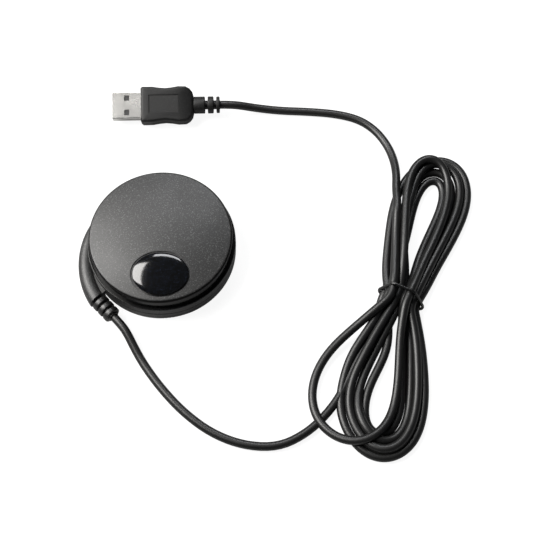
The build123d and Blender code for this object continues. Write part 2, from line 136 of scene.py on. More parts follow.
# %% Where the passes cross the tie
TIE = np.array([99.8, -22.6])
TIE_ANGLE = math.radians(-24.0)
across = np.array([math.cos(TIE_ANGLE), math.sin(TIE_ANGLE)])
along = np.array([-math.sin(TIE_ANGLE), math.cos(TIE_ANGLE)])
ROW_LOW, ROW_HIGH, ROW_TOP = 3.1, 6.2, 9.3
SLOT_REACH = 4                      # a pass is straight for this far on both sides of the tie
left_slots = [(-3.6, ROW_TOP), (-1.8, ROW_HIGH), (0.0, ROW_LOW), (-3.6, ROW_LOW), (-5.4, ROW_HIGH),
              (-7.2, ROW_LOW)]
right_slots = [(3.0, ROW_TOP), (5.4, ROW_HIGH), (3.6, ROW_LOW), (1.8, ROW_HIGH), (7.2, ROW_LOW)]


def slot(place, ahead):
    """A point of a pass at the tie: its place in the rows, and how far it is past the tie."""
    x, y = TIE + across * place[0] + along * ahead
    return (x, y, place[1])


# %% The loops below and above the tie, in plan
lower_loops = [
    [(87, -31), (81.5, -35.5), (72.5, -42), (65.2, -51.5), (61.8, -61), (62.2, -72), (68, -81),
     (78.5, -86), (89, -82.5), (95, -72), (97.5, -60), (98, -48), (98.5, -37)],
    [(90.5, -35), (86.5, -42.5), (81.3, -51), (77.5, -60), (76.8, -71), (81, -81.5), (90, -89.3),
     (99.3, -84.5), (103.8, -70), (105, -54), (105, -38)],
    [(93, -36), (89.5, -44), (84.5, -53), (81, -62), (79.8, -71.5), (82.6, -81), (91.5, -86.4), (99.3, -78.5),
     (101.6, -66), (102.2, -52), (102.8, -38)],
    [(94.5, -43), (89.5, -53), (85, -61), (81.8, -69), (82.8, -78), (90, -84.3), (97.6, -76.5), (99.2, -62),
     (99.8, -50), (101, -37)],
    [(89.5, -33), (85, -40), (79, -48.5), (74.6, -58.5), (73, -67), (74, -75.5), (79, -84.6), (88.5, -92),
     (98, -89.6), (104.5, -82), (107.8, -68), (108, -55), (107, -38)],
]
upper_loops = [
    [(106.5, -16), (112, -3), (118, 10), (122, 22), (122.3, 35), (118, 43), (111, 42.3), (105.6, 33),
     (103.2, 20), (102.2, 7), (101.2, -6)],
    [(110, -10), (116.5, -0.5), (123, 13), (127.3, 24), (127.5, 33.5), (123, 41.5), (114.5, 41.5),
     (107.6, 33.5), (104.5, 20), (102, 6), (100.5, -8)],
    [(109, -10), (114.5, 1.5), (120.3, 13.5), (124.5, 25), (123.3, 35), (116, 40), (109, 32.8), (104, 18),
     (99.5, 4), (97.5, -8)],
    [(105.5, -12), (110.5, 0.5), (116.5, 14), (121, 23.5), (122, 32), (115.8, 36.6), (108.3, 29), (104, 15),
     (102.5, 4), (98.5, -9)],
    [(110.5, -16), (118.5, -2.5), (126.3, 11.5), (130.7, 23), (130.8, 34), (126.5, 42), (118, 43.8),
     (108, 39.5), (101, 29), (97.3, 17), (95.8, 4), (94.3, -9)],
]
lead_pass = [(99.5, 20.0, 8.0), (98.4, 6.0, 9.4), (97.8, -5.0, 9.6), (96.8, -15.4, 9.4), (95.8, -21.8, 9.3),
             (92.8, -27.0, 9.2)]
TURN_RISE = 1.5                     # each turn starts this much higher than the one below it
LOWER_LIFT = 0.3


def hank_places():
    """All the places that the tied stretch passes, from the plug's side to the puck's side."""
    places = list(lead_pass)
    count = len(lower_loops)
    for turn in range(count):
        height = CORD_D / 2 + TURN_RISE * (count - 1 - turn)
        places += [(x, y, height + LOWER_LIFT) for x, y in lower_loops[turn]]
        places += [slot(right_slots[turn], ahead) for ahead in (-SLOT_REACH, SLOT_REACH)]
        places += [(x, y, height) for x, y in upper_loops[turn]]
        places += [slot(left_slots[turn + 1], ahead) for ahead in (SLOT_REACH, -SLOT_REACH)]
    places += [(87.6, -37.0, 2.4), (80.4, -50.4, 1.9)]
    return np.array(places, float)


POINT_STEP = 4.5
FINE_STEPS = 40                     # steps between two places, before the curve is cut evenly


def evenly(places, step):
    """A smooth curve through the places, cut into even steps."""
    ends = [2 * places[0] - places[1], *places, 2 * places[-1] - places[-2]]
    fine = []
    for a, b, c, d in zip(ends, ends[1:], ends[2:], ends[3:]):
        for t in np.linspace(0, 1, FINE_STEPS, endpoint=False):
            fine.append(0.5 * (2 * b + (c - a) * t + (2 * a - 5 * b + 4 * c - d) * t**2
                               + (3 * b - a - 3 * c + d) * t**3))
    fine = np.array([*fine, places[-1]])
    reached = np.r_[0, np.cumsum(np.linalg.norm(np.diff(fine, axis=0), axis=1))]
    stations = np.linspace(0, reached[-1], int(round(reached[-1] / step)) + 1)
    return np.stack([np.interp(stations, reached, fine[:, i]) for i in range(3)], axis=1)


turns = evenly(hank_places(), POINT_STEP)
print("the tied stretch:", len(turns), "points")

# %% [markdown]
# ## Let the turns settle
# A curve drawn through the listed places runs through itself wherever turns cross. Real turns lie on each
# other. So the points sink a little in each round, are pushed apart wherever two passes come nearer than
# one diameter, are kept off the surface, and are pulled back to their even spacing. After a few
# hundred rounds most turns rest side by side and on top of each other, and the points where the
# tie holds them have not moved. Where several turns cross at one place some still overlap.

# %% Push the passes apart
SINK = 0.02                         # how far a point falls in a round
KEEP_PLAN = 0.02                    # share of the way back to its drawn place in plan
SMOOTHING = np.array([0.015, 0.015, 0.10])
ALONGSIDE = 3.0                     # points further along the other pass than this don't push
DOWN_BIAS = np.array([0, 0, -0.35])
EASE = 0.25                         # share of an error that one step mends
SETTLE_ROUNDS = 320
FAIR_ROUNDS, FAIR_SHARE = 6, 0.3    # the last smoothing, after the pushing
TIE_GRIP = 5.0                      # points nearer the tie than this stay where they are


def settle(points, held, rounds):
    """Sinks the points, keeps passes one diameter apart and keeps the spacing along the cord."""
    points = points.copy()
    drawn = points.copy()
    count = len(points)
    spacing = np.linalg.norm(np.diff(points, axis=0), axis=1)
    reached = np.r_[0, np.cumsum(spacing)]
    first, second = np.triu_indices(count, 3)
    apart = (reached[second] - reached[first]) > 2.2 * CORD_D
    first, second = first[apart], second[apart]
    free = (~held).astype(float)[:, None]
    before = np.maximum(np.arange(count) - 1, 0)
    after = np.minimum(np.arange(count) + 1, count - 1)
    for _ in range(rounds):
        points[:, 2] -= SINK * free[:, 0]
        points[:, :2] += KEEP_PLAN * (drawn - points)[:, :2] * free
        middle = (points[:-2] + points[2:]) / 2
        points[1:-1] += (middle - points[1:-1]) * free[1:-1] * SMOOTHING
        heading = points[after] - points[before]
        heading /= np.linalg.norm(heading, axis=1)[:, None]
        for _ in range(2):
            near = np.linalg.norm(points[first] - points[second], axis=1) < 1.6 * CORD_D
            i, j = first[near], second[near]
            same_way = np.sign(np.sum(heading[i] * heading[j], axis=1))[:, None]
            common = heading[i] + same_way * heading[j]
            common /= np.linalg.norm(common, axis=1)[:, None]
            gap = points[j] - points[i]
            shift = np.sum(gap * common, axis=1)
            side_by_side = np.linalg.norm(np.cross(heading[i], heading[j]), axis=1) < 0.5
            gap = np.where(side_by_side[:, None], gap - shift[:, None] * common, gap)
            distance = np.linalg.norm(gap, axis=1) + 1e-9
            touching = (distance < CORD_D) & (np.abs(shift) < ALONGSIDE)
            i, j, gap, distance = i[touching], j[touching], gap[touching], distance[touching]
            push = gap / distance[:, None] + DOWN_BIAS
            push /= np.linalg.norm(push, axis=1)[:, None]
            move = EASE * (CORD_D - distance)[:, None] * push
            np.add.at(points, i, -move * free[i])
            np.add.at(points, j, move * free[j])
            low = np.maximum(points[:, 2], CORD_D / 2)
            points[:, 2] = np.where(held, points[:, 2], low)
        for _ in range(2):
            link = np.diff(points, axis=0)
            length = np.linalg.norm(link, axis=1)
            pull = EASE * ((length - spacing) / length)[:, None] * link
            points[:-1] += pull * free[:-1]
            points[1:] -= pull * free[1:]
    return points


held = np.abs((turns[:, :2] - TIE) @ along) < TIE_GRIP
held[:2] = True
held[-2:] = True
turns = settle(turns, held, SETTLE_ROUNDS)
for _ in range(FAIR_ROUNDS):
    turns[1:-1] += FAIR_SHARE * ((turns[:-2] + turns[2:]) / 2 - turns[1:-1]) * (~held[1:-1])[:, None]
print("heights of the turns, mm:", round(turns[:, 2].min(), 2), "to", round(turns[:, 2].max(), 2))

# %% [markdown]
# ## The cable as one curve
# The two loose stretches and the settled turns are control points of one open NURBS spline. Its
# order is set after the points are added, because set before, it would stay at straight runs. A
# mesh of the bare line is taken first, and then a round bevel makes the jacket.

# %% Build the cable
route = [Vector(place) for place in (*puck_route, *turns[::-1], *plug_route)]
cable_data = bpy.data.curves.new("usb_cable", "CURVE")
cable_data.dimensions = "3D"
spline = cable_data.splines.new("NURBS")
spline.points.add(len(route) - 1)
for point, place in zip(spline.points, route):
    point.co = (*(place * MM), 1.0)
spline.order_u = 3
spline.use_endpoint_u = True
cable_data.resolution_u = 5
cable = bpy.data.objects.new("usb_cable", cable_data)
bpy.context.scene.collection.objects.link(cable)
bpy.context.view_layer.update()
line_mesh = bpy.data.meshes.new_from_object(cable)
cable_data.bevel_depth = CORD_D / 2 * MM
cable_data.bevel_resolution = 5
cable_data.use_fill_caps = True

# %% [markdown]
# ## Shared mesh helpers
# Turned pieces are made like work on a lathe: a wire in the shape of half the section is spun
# round an axis. Sharp corners of the section are rounded first, with a vertex bevel, so that the
# finished piece has real edges that catch the light.

# %% Helpers for turned pieces
WELD = 1e-4
SHARP_ANGLE = math.radians(38)


def finish_piece(name, bm, place=None):
    """Welds the mesh, moves it to its place and makes it an object at the origin."""
    bmesh.ops.remove_doubles(bm, verts=bm.verts, dist=WELD)
    bmesh.ops.recalc_face_normals(bm, faces=bm.faces)
    bmesh.ops.transform(bm, matrix=Matrix.Scale(MM, 4) @ (place or Matrix.Identity(4)), verts=bm.verts)
    for face in bm.faces:
        face.smooth = True
    mesh = bpy.data.meshes.new(name)
    bm.to_mesh(mesh)
    bm.free()
    mesh.set_sharp_from_angle(angle=SHARP_ANGLE)
    piece = bpy.data.objects.new(name, mesh)
    bpy.context.scene.collection.objects.link(piece)
    print(name, len(mesh.polygons), "faces")
    return piece


def section_wire(bm, outline):
    """A wire of (radius, height, rounding) points in the XZ plane, its corners rounded."""
    verts = [bm.verts.new((r, 0.0, z)) for r, z, _ in outline]
    for a, b in zip(verts, verts[1:]):
        bm.edges.new((a, b))
    for vert, (_, _, rounding) in zip(list(verts), outline):
        if rounding:
            bmesh.ops.bevel(bm, geom=[vert], offset=rounding, offset_type="OFFSET", affect="VERTICES",
                            segments=4, profile=0.5, material=-1)


def turned(outline, steps=96):
    """A bmesh of the outline spun once round the Z axis."""
    bm = bmesh.new()
    section_wire(bm, outline)
    bmesh.ops.spin(bm, geom=bm.verts[:] + bm.edges[:], cent=(0, 0, 0), axis=(0, 0, 1), dvec=(0, 0, 0),
                   angle=math.tau, steps=steps, use_merge=True, use_duplicate=False)
    bmesh.ops.remove_doubles(bm, verts=bm.verts, dist=WELD)
    return bm


outlet_turn = outlet_way.to_track_quat("Z", "Y").to_matrix().to_4x4()
outlet_place = Matrix.Translation(outlet) @ outlet_turn

# %% [markdown]
# ## Strain reliefs
# Both ends of the cable come out of ribbed rubber sleeves. The ribs let the sleeve bend a little
# everywhere instead of kinking at its mouth. Each is one turned section with soft corners.

# %% Turn the two sleeves
RIB_FOOT, TAIL_EDGE = 0.12, 0.3     # roundings at the foot of a rib and at the sleeve's mouth
SLEEVE_STEPS = 48
RIB_START, RIB_END, RIB_PITCH = 1.1, 3.5, 3.1
RIB_R, RIB_LOSS = 3.65, 0.05        # the ribs at the puck get a little smaller outwards


def ribbed(ribs, root, neck, tail, back, soft):
    """The section of a sleeve: ribs are (start, end, radius) along it, and it ends at the tail."""
    outline = [(0, back, 0), (root, back, 0), (root, 0, 0)]
    for low, high, radius in ribs:
        outline += [(neck, low, RIB_FOOT), (radius, low, soft), (radius, high, soft), (neck, high, RIB_FOOT)]
    outline += [(neck, tail, TAIL_EDGE), (0, tail, 0)]
    return outline


puck_ribs = [(RIB_START + RIB_PITCH * i, RIB_END + RIB_PITCH * i, RIB_R - RIB_LOSS * i) for i in range(3)]
puck_section = ribbed(puck_ribs, root=2.15, neck=2.45, tail=RELIEF_LEN, back=-3.0, soft=0.5)
puck_relief = finish_piece("cable_relief", turned(puck_section, SLEEVE_STEPS), outlet_place)
plug_ribs = [(0.05, 4.9, 3.75), (6.2, 8.7, 3.75), (10.0, 11.4, 3.65)]
neck_place = (plug_place @ Matrix.Translation((SHELL_LEN + MOULD_LEN, 0, 0))
              @ Matrix.Rotation(math.radians(90), 4, "Y"))
plug_section = ribbed(plug_ribs, root=1.9, neck=1.95, tail=NECK_LEN, back=-0.5, soft=0.3)
plug_relief = finish_piece("plug_relief", turned(plug_section, SLEEVE_STEPS), neck_place)

# %% [markdown]
# ## Overmould of the plug
# The grip is rubber moulded round the plug: broad shoulders, a waist for the fingers, a rounded
# back, and a sunken panel on both broad sides. Its outline from above is a wire of a few points,
# filled, thickened and bevelled, and the panels are inset from the two flat faces.

# %% Model the overmould
MOULD_W, MOULD_T = 16.0, 8.0
MOULD_EDGE = 1.2
TAPER_FROM, TAPER = 19.8, 0.11      # behind this place the grip gets thinner by this share per mm
PANEL_X, PANEL_Y = (3.6, 16.6), 4.1
PANEL_SLOPE, PANEL_DEPTH, PANEL_LIP = 0.25, -0.3, 0.2
half = MOULD_W / 2
side_line = [(0.0, half - 0.7), (0.7, half), (5.2, half - 0.05), (8.0, half - 0.5), (10.8, half - 0.75),
             (13.6, half - 0.5), (16.4, half), (19.8, half - 0.1), (21.6, half - 1.0), (22.8, half - 2.5),
             (MOULD_LEN, half - 4.4)]


def sink_panel(bm, height):
    """Cuts a rectangle out of one flat face and sinks it, with a sloping step round it."""
    cuts = [(x, (1, 0, 0)) for x in PANEL_X] + [(y, (0, 1, 0)) for y in (-PANEL_Y, PANEL_Y)]
    for spot, way in cuts:
        flat = [f for f in bm.faces if all(abs(v.co.z - height) < WELD for v in f.verts)]
        edges = {e for f in flat for e in f.edges}
        verts = {v for f in flat for v in f.verts}
        place = Vector(way) * spot + Vector((SHELL_LEN * way[0], 0, 0))
        bmesh.ops.bisect_plane(bm, geom=[*flat, *edges, *verts], plane_co=place, plane_no=way)
    middle = Vector((SHELL_LEN + sum(PANEL_X) / 2, 0, height))
    panel = min(bm.faces, key=lambda f: (f.calc_center_median() - middle).length)
    bmesh.ops.inset_region(bm, faces=[panel], thickness=PANEL_SLOPE, depth=PANEL_DEPTH)
    bmesh.ops.inset_region(bm, faces=[panel], thickness=PANEL_LIP, depth=0.0)


def make_overmould():
    """The grip: its outline filled and thickened, rims rounded, panels sunk, back tapered."""
    bm = bmesh.new()
    outline = side_line + [(x, -y) for x, y in reversed(side_line)]
    face = bm.faces.new([bm.verts.new((x + SHELL_LEN, y, -MOULD_T / 2)) for x, y in outline])
    grown = bmesh.ops.extrude_face_region(bm, geom=[face])
    lifted = [v for v in grown["geom"] if isinstance(v, bmesh.types.BMVert)]
    bmesh.ops.translate(bm, vec=(0, 0, MOULD_T), verts=lifted)
    bmesh.ops.recalc_face_normals(bm, faces=bm.faces)
    rims = [e for e in bm.edges if abs(e.verts[0].co.z - e.verts[1].co.z) < 1e-6]
    bmesh.ops.bevel(bm, geom=rims, offset=MOULD_EDGE, offset_type="OFFSET", affect="EDGES", segments=5,
                    profile=0.5, material=-1)
    sink_panel(bm, MOULD_T / 2)
    sink_panel(bm, -MOULD_T / 2)
    for vert in bm.verts:
        past = vert.co.x - SHELL_LEN - TAPER_FROM
        vert.co.z *= 1 - TAPER * max(past, 0)
    return bm


overmould = finish_piece("plug_overmould", make_overmould(), plug_place)

# %% [markdown]
# ## Badge
# The oval badge is a poured lens of black resin, almost flat in the middle and steep at its edge,
# so its rim mirrors the lights as a bright crescent. It sits in the cover's oval recess. Its
# section is turned in a circle of radius 1 and then stretched to the oval.

# %% Turn the badge's lens
BADGE_A, BADGE_B = 12.0, 9.3
BADGE_X, BADGE_Y = 0.8, -18.0
COVER_R, COVER_RISE, CROWN_Z = 29.85, 3.1, 19.5
DOME_R = (COVER_R**2 + COVER_RISE**2) / (2 * COVER_RISE)
badge_height = CROWN_Z - DOME_R + math.sqrt(DOME_R**2 - BADGE_X**2 - BADGE_Y**2)
LENS_CROWN, LENS_FOOT, LENS_EDGE = 1.35, -0.76, 0.96
LENS_FLAT, LENS_STEEP = 2.3, 0.62   # powers: the first flattens the middle, the second rounds the rim
LENS_STEPS = 24
lens_section = [(0, LENS_FOOT, 0), (LENS_EDGE, LENS_FOOT, 0)]
for step in range(LENS_STEPS + 1):
    share = math.cos(math.pi / 2 * step / LENS_STEPS)
    lens_section.append((LENS_EDGE * share, LENS_CROWN * (1 - share**LENS_FLAT) ** LENS_STEEP, 0))
badge_place = (Matrix.Translation((BADGE_X, BADGE_Y, badge_height))
               @ Matrix.Rotation(math.asin(-BADGE_Y / DOME_R), 4, "X")
               @ Matrix.Diagonal((BADGE_A, BADGE_B, 1.0, 1.0)))
badge_lens = finish_piece("badge_lens", turned(lens_section, 128), badge_place)

# %% [markdown]
# ## Twist tie
# A thin plastic-covered wire is drawn tight round the middle of the hank. Its centre line keeps
# half its own thickness off the outside of the rows of passes at the tie, and it leans along the hank.

# %% Bend the tie round the passes
TIE_R = 0.65
TIE_LEAN, TIE_MIDDLE = 0.18, 4.0    # lean along the hank per mm above or below the middle height
TIE_STEPS = 72
tie_way = Vector((along[0], along[1], 0.0))
tie_side = Vector((across[0], across[1], 0.0))


def tie_loop():
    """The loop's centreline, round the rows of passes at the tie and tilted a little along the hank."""
    slots = left_slots + right_slots
    reach = CORD_D / 2 + TIE_R
    loop = []
    for step in range(TIE_STEPS):
        angle = math.tau * step / TIE_STEPS
        way = Vector((math.cos(angle), math.sin(angle)))
        best = max(slots, key=lambda s: s[0] * way.x + s[1] * way.y)
        loop.append(Vector(best) + reach * way)
    centre = Vector((TIE[0], TIE[1], 0.0))
    return [centre + tie_side * p.x + Vector((0, 0, max(p.y, TIE_R)))
            + tie_way * TIE_LEAN * (p.y - TIE_MIDDLE) for p in loop]


tie_data = bpy.data.curves.new("twist_tie_loop", "CURVE")
tie_data.dimensions = "3D"
tie_spline = tie_data.splines.new("NURBS")
tie_points = tie_loop()
tie_spline.points.add(len(tie_points) - 1)
for point, place in zip(tie_spline.points, tie_points):
    point.co = (*(place * MM), 1.0)
tie_spline.order_u = 3
tie_spline.use_cyclic_u = True
tie_data.resolution_u = 3
tie_data.bevel_depth = TIE_R * MM
tie_data.bevel_resolution = 3
tie_curve = bpy.data.objects.new("twist_tie_curve", tie_data)
bpy.context.scene.collection.objects.link(tie_curve)
bpy.context.view_layer.update()
tie_mesh = bpy.data.meshes.new_from_object(tie_curve)
tie_mesh.name = "tie_wire"
bpy.data.objects.remove(tie_curve)
tie = bpy.data.objects.new("tie_wire", tie_mesh)
for polygon in tie_mesh.polygons:
    polygon.use_smooth = True
bpy.context.scene.collection.objects.link(tie)
print("tie:", len(tie_mesh.polygons), "faces")

# %% [markdown]
# ## Finishes
# Plastic that looks flat black from afar has a fine grain, a slight unevenness of gloss and
# small flecks. Those three effects are shared by all the materials, so they are one node group
# that is built once and placed with its own values. A second group masks a band of height.
# In that band the cover's side wall is painted black: painted shade.

# %% Node groups shared by the finishes
def new_group(name, inputs, outputs):
    """An empty node group with its sockets, and its input and output nodes."""
    group = bpy.data.node_groups.new(name, "ShaderNodeTree")
    for label, default in inputs:
        socket = group.interface.new_socket(name=label, in_out="INPUT", socket_type="NodeSocketFloat")
        socket.default_value = default
    for label, kind in outputs:
        group.interface.new_socket(name=label, in_out="OUTPUT", socket_type=kind)
    return group, group.nodes.new("NodeGroupInput"), group.nodes.new("NodeGroupOutput")


def grain_group():
    """Moulded grain: a fine height map, a mask of light flecks, and a slow drift of gloss."""
    group, inside, out = new_group(
        "moulded_grain",
        [("Grain Scale", 3500.0), ("Fleck Scale", 2600.0), ("Drift Scale", 60.0)],
        [("Height", "NodeSocketFloat"), ("Flecks", "NodeSocketFloat"), ("Drift", "NodeSocketFloat")],
    )
    links = group.links
    coords = group.nodes.new("ShaderNodeTexCoord")
    grain = group.nodes.new("ShaderNodeTexNoise")
    grain.inputs["Detail"].default_value = 3.0
    grain.inputs["Roughness"].default_value = 0.6
    links.new(coords.outputs["Object"], grain.inputs["Vector"])
    links.new(inside.outputs["Grain Scale"], grain.inputs["Scale"])
    links.new(grain.outputs["Fac"], out.inputs["Height"])
    flecks = group.nodes.new("ShaderNodeTexNoise")
    flecks.inputs["Detail"].default_value = 1.0
    links.new(coords.outputs["Object"], flecks.inputs["Vector"])
    links.new(inside.outputs["Fleck Scale"], flecks.inputs["Scale"])
    sharpen = group.nodes.new("ShaderNodeMapRange")
    sharpen.inputs["From Min"].default_value = 0.56
    sharpen.inputs["From Max"].default_value = 0.74
    links.new(flecks.outputs["Fac"], sharpen.inputs["Value"])
    links.new(sharpen.outputs["Result"], out.inputs["Flecks"])
    drift = group.nodes.new("ShaderNodeTexNoise")
    drift.inputs["Detail"].default_value = 2.0
    links.new(coords.outputs["Object"], drift.inputs["Vector"])
    links.new(inside.outputs["Drift Scale"], drift.inputs["Scale"])
    links.new(drift.outputs["Fac"], out.inputs["Drift"])
    return group


def band_group():
    """A mask that is 1 between two heights of the object and fades over a short way outside."""
    group, inside, out = new_group("height_band", [("Low", 0.0), ("High", 0.01), ("Blend", 0.0004)],
                                   [("Mask", "NodeSocketFloat")])
    links = group.links
    coords = group.nodes.new("ShaderNodeTexCoord")
    parts = group.nodes.new("ShaderNodeSeparateXYZ")
    links.new(coords.outputs["Object"], parts.inputs[0])
    sides = []
    for label, operation in (("Low", "SUBTRACT"), ("High", "ADD")):
        far = group.nodes.new("ShaderNodeMath")
        far.operation = operation
        links.new(inside.outputs[label], far.inputs[0])
        links.new(inside.outputs["Blend"], far.inputs[1])
        side = group.nodes.new("ShaderNodeMapRange")
        side.interpolation_type = "SMOOTHSTEP"
        links.new(parts.outputs["Z"], side.inputs["Value"])
        links.new(far.outputs[0], side.inputs["From Min"])
        links.new(inside.outputs[label], side.inputs["From Max"])
        sides.append(side)
    both = group.nodes.new("ShaderNodeMath")
    both.operation = "MULTIPLY"
    links.new(sides[0].outputs["Result"], both.inputs[0])
    links.new(sides[1].outputs["Result"], both.inputs[1])
    links.new(both.outputs[0], out.inputs["Mask"])
    return group


GRAIN = grain_group()
BAND = band_group()
print("node groups:", [g.name for g in bpy.data.node_groups])


# %% A material with grain, flecks and uneven gloss
def grained(name, dark, light, gloss, bump, scales, shine=0.5, metallic=0.0, shade_band=None):
    """A Principled material: colours run from dark to light with the flecks, roughness drifts.

    gloss is the range of roughness, bump is its strength and its height in metres, and scales
    are those of the grain, the flecks and the drift. Between the two heights of the shade band the
    grain and flecks end, and the surface turns smooth and loses most of its shine, so it renders
    black: the smoothness is a finish, the blackness is painted shade.
    """
    material = bpy.data.materials.new(name)
    material.use_nodes = True
    tree = material.node_tree
    shader = tree.nodes["Principled BSDF"]
    shader.inputs["Metallic"].default_value = metallic
    shader.inputs["Specular IOR Level"].default_value = shine
    grain = tree.nodes.new("ShaderNodeGroup")
    grain.node_tree = GRAIN
    for label, value in zip(("Grain Scale", "Fleck Scale", "Drift Scale"), scales):
        grain.inputs[label].default_value = value
    tone = tree.nodes.new("ShaderNodeMix")
    tone.data_type = "RGBA"
    tone.inputs["A"].default_value = (*dark, 1.0)
    tone.inputs["B"].default_value = (*light, 1.0)
    tree.links.new(grain.outputs["Flecks"], tone.inputs["Factor"])
    tree.links.new(tone.outputs["Result"], shader.inputs["Base Color"])
    rough = tree.nodes.new("ShaderNodeMapRange")
    rough.inputs["To Min"].default_value = gloss[0]
    rough.inputs["To Max"].default_value = gloss[1]
    rough.inputs["From Min"].default_value = 0.3
    rough.inputs["From Max"].default_value = 0.7
    tree.links.new(grain.outputs["Drift"], rough.inputs["Value"])
    tree.links.new(rough.outputs["Result"], shader.inputs["Roughness"])
    bumper = tree.nodes.new("ShaderNodeBump")
    bumper.inputs["Strength"].default_value = bump[0]
    bumper.inputs["Distance"].default_value = bump[1]
    tree.links.new(grain.outputs["Height"], bumper.inputs["Height"])
    tree.links.new(bumper.outputs["Normal"], shader.inputs["Normal"])
    if shade_band:
        paint_band_shade(tree, grain, tone, rough, bumper, shader, *shade_band, bump[0], shine)
    return material


# Inside the band the plastic is smooth and almost without shine, which paints the cover's side wall black:
# painted shade.
SHADE_BAND_ROUGHNESS, SHADE_BAND_SHINE = 0.13, 0.08


def paint_band_shade(tree, grain, tone, rough, bumper, shader, low, high, grain_strength, shine):
    """Paints shade between two heights: fades flecks, grain and roughness out and lowers the shine."""
    band = tree.nodes.new("ShaderNodeGroup")
    band.node_tree = BAND
    band.inputs["Low"].default_value = low
    band.inputs["High"].default_value = high
    for source, target, usual, plain in (
        (grain.outputs["Flecks"], tone.inputs["Factor"], 0.0, 0.0),
        (rough.outputs["Result"], shader.inputs["Roughness"], 0.0, SHADE_BAND_ROUGHNESS),
        (None, bumper.inputs["Strength"], grain_strength, 0.0),
        (None, shader.inputs["Specular IOR Level"], shine, SHADE_BAND_SHINE),
    ):
        fade = tree.nodes.new("ShaderNodeMix")
        fade.inputs[2].default_value = usual
        fade.inputs[3].default_value = plain
        tree.links.new(band.outputs["Mask"], fade.inputs[0])
        if source:
            tree.links.new(source, fade.inputs[2])
        tree.links.new(fade.outputs[0], target)


def grey(value, warm=0.0):
    """A grey, a little warmer or cooler than neutral."""
    return (value * (1 + warm), value, value * (1 - warm))


finishes = {
    # The case plastic is painted darker between 10.5 and 16.2 mm high, on the cover's side wall: painted
    # shade.
    "case_plastic": grained("case_plastic", grey(0.005), grey(0.06), (0.44, 0.50), (0.30, 0.00006),
                            (5200.0, 2300.0, 70.0), shade_band=(0.0105, 0.0162)),
    "base_plastic": grained("base_plastic", grey(0.005), grey(0.045), (0.40, 0.46), (0.25, 0.00005),
                            (5200.0, 2300.0, 70.0)),
    "cable_jacket": grained("cable_jacket", grey(0.004), grey(0.006), (0.36, 0.44), (0.08, 0.00004),
                            (1500.0, 900.0, 40.0), shine=0.42),
    "relief_rubber": grained("relief_rubber", grey(0.004), grey(0.02), (0.36, 0.44), (0.2, 0.00006),
                             (4200.0, 3200.0, 90.0)),
    "plug_rubber": grained("plug_rubber", grey(0.004), grey(0.02), (0.46, 0.54), (0.3, 0.00006),
                           (4600.0, 3200.0, 90.0), shine=0.3),
    "badge_gloss": grained("badge_gloss", grey(0.001), (0.010, 0.013, 0.022), (0.10, 0.13), (0.0, 0.00001),
                           (900.0, 2600.0, 40.0)),
    "tie_plastic": grained("tie_plastic", grey(0.003), grey(0.005), (0.18, 0.24), (0.05, 0.00003),
                           (1800.0, 900.0, 60.0)),
    "pad_rubber": grained("pad_rubber", grey(0.018), grey(0.05), (0.62, 0.75), (0.5, 0.0001),
                          (2600.0, 2200.0, 60.0)),
    "seal_rubber": grained("seal_rubber", grey(0.05), grey(0.08), (0.55, 0.65), (0.2, 0.00005),
                           (3000.0, 2000.0, 60.0)),
    "nickel_plate": grained("nickel_plate", (0.70, 0.69, 0.67), (0.71, 0.70, 0.68), (0.24, 0.28),
                            (0.02, 0.00002), (2200.0, 500.0, 120.0), metallic=1.0),
    "gold_plate": grained("gold_plate", (0.80, 0.58, 0.24), (0.9, 0.68, 0.32), (0.18, 0.28), (0.05, 0.00003),
                          (2200.0, 500.0, 120.0), metallic=1.0),
    "plug_insulator": grained("plug_insulator", grey(0.02), grey(0.03), (0.35, 0.45), (0.1, 0.00004),
                              (3000.0, 900.0, 60.0)),
    "connector_white": grained("connector_white", grey(0.62, 0.03), grey(0.70, 0.03), (0.4, 0.5),
                               (0.1, 0.00004), (3000.0, 900.0, 60.0)),
    "magnet_ceramic": grained("magnet_ceramic", grey(0.05), grey(0.09), (0.5, 0.65), (0.4, 0.00008),
                              (2400.0, 2000.0, 80.0)),
    "plated_steel": grained("plated_steel", grey(0.52, 0.01), grey(0.62, 0.01), (0.26, 0.38), (0.1, 0.00003),
                            (2600.0, 700.0, 90.0), metallic=1.0),
    "tinned_steel": grained("tinned_steel", grey(0.6, 0.01), grey(0.7, 0.01), (0.24, 0.36), (0.12, 0.00003),
                            (1800.0, 700.0, 90.0), metallic=1.0),
    "label_paper": grained("label_paper", grey(0.62), grey(0.7), (0.35, 0.5), (0.1, 0.00002),
                           (3500.0, 2500.0, 60.0)),
    "brass_insert": grained("brass_insert", (0.62, 0.44, 0.18), (0.7, 0.52, 0.24), (0.25, 0.35),
                            (0.1, 0.00003), (2200.0, 700.0, 90.0), metallic=1.0),
    "board_laminate": grained("board_laminate", (0.012, 0.09, 0.035), (0.02, 0.14, 0.05), (0.22, 0.32),
                              (0.1, 0.00003), (1400.0, 500.0, 90.0)),
    "antenna_ceramic": grained("antenna_ceramic", (0.60, 0.52, 0.40), (0.68, 0.60, 0.48), (0.5, 0.6),
                               (0.25, 0.00005), (2600.0, 1800.0, 80.0)),
    "silver_plate": grained("silver_plate", grey(0.74, 0.01), grey(0.82, 0.01), (0.34, 0.46), (0.2, 0.00003),
                            (2600.0, 900.0, 80.0), metallic=1.0),
    "chip_resin": grained("chip_resin", grey(0.02), grey(0.035), (0.42, 0.55), (0.25, 0.00004),
                          (3600.0, 2600.0, 80.0)),
    "capacitor_body": grained("capacitor_body", (0.36, 0.24, 0.15), (0.46, 0.33, 0.22), (0.4, 0.5),
                              (0.15, 0.00003), (2600.0, 1800.0, 80.0)),
    "wire_jacket": grained("wire_jacket", (0.36, 0.03, 0.025), (0.42, 0.05, 0.04), (0.3, 0.4),
                           (0.05, 0.00003), (1800.0, 900.0, 60.0)),
}
